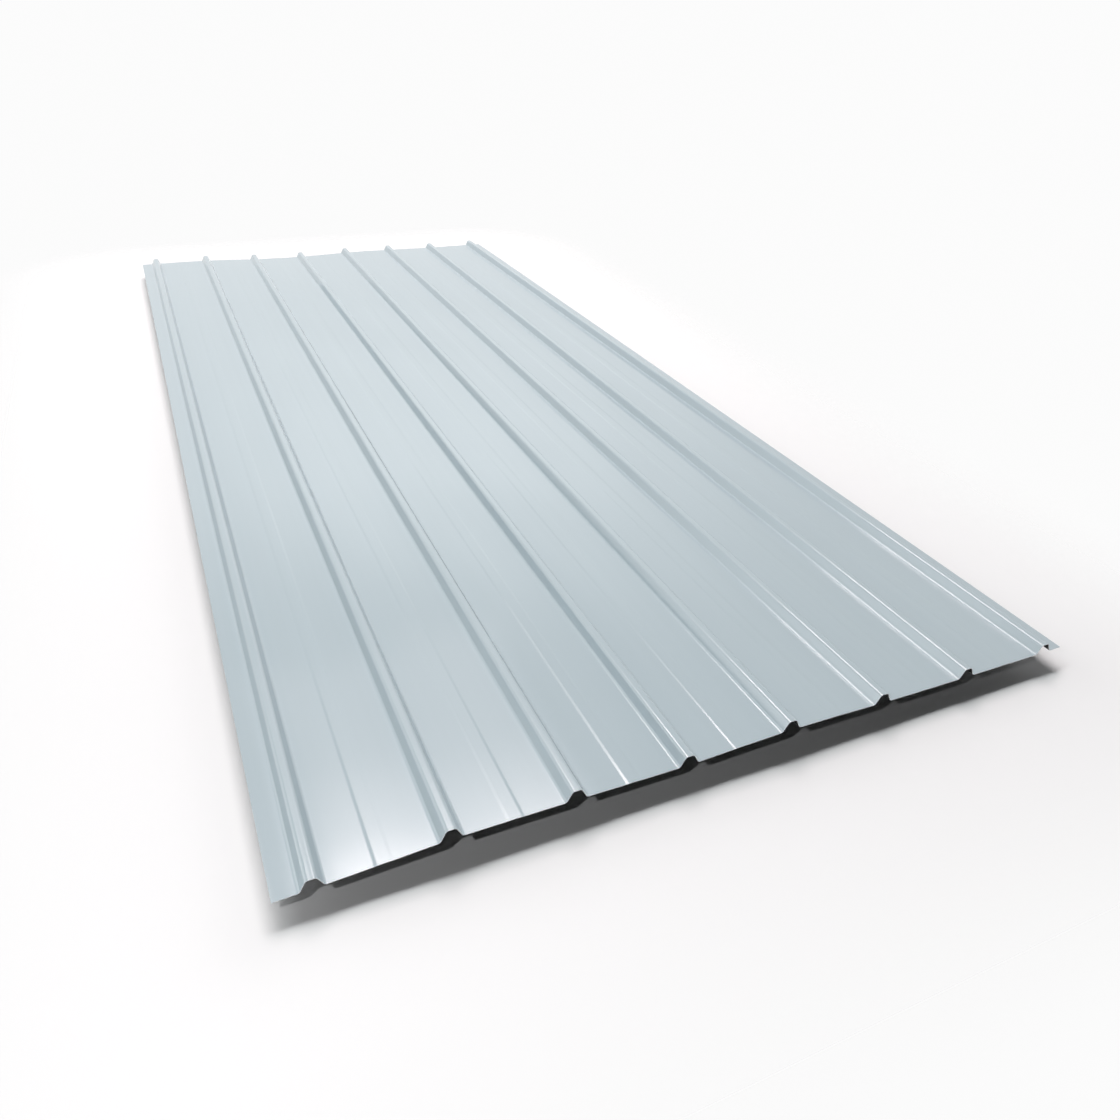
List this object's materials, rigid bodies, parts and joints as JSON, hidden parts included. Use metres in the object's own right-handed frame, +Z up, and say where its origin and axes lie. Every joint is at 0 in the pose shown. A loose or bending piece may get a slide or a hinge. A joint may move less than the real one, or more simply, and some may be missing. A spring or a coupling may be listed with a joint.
{
  "type": "ribbed galvanized steel roofing sheet",
  "caption": "Roll-formed steel roofing and cladding sheet with low trapezoidal ribs, flat pans with shallow stiffeners and plain side laps.",
  "frame": {"origin": "on the floor plane, under the middle of the sheet's box", "axes": "+Y along the ribs, +Z up out of the ribbed side, +X across the sheet to the right"},
  "size_m": [1.09, 2.44, 0.0148],
  "materials": {
    "coated_steel": "smooth semi-gloss pale blue-grey coating on galvanized steel, with bare cut ends"
  },
  "bodies": {
    "root": {"ribbed_sheet": "coated_steel"}
  },
  "joints": []
}
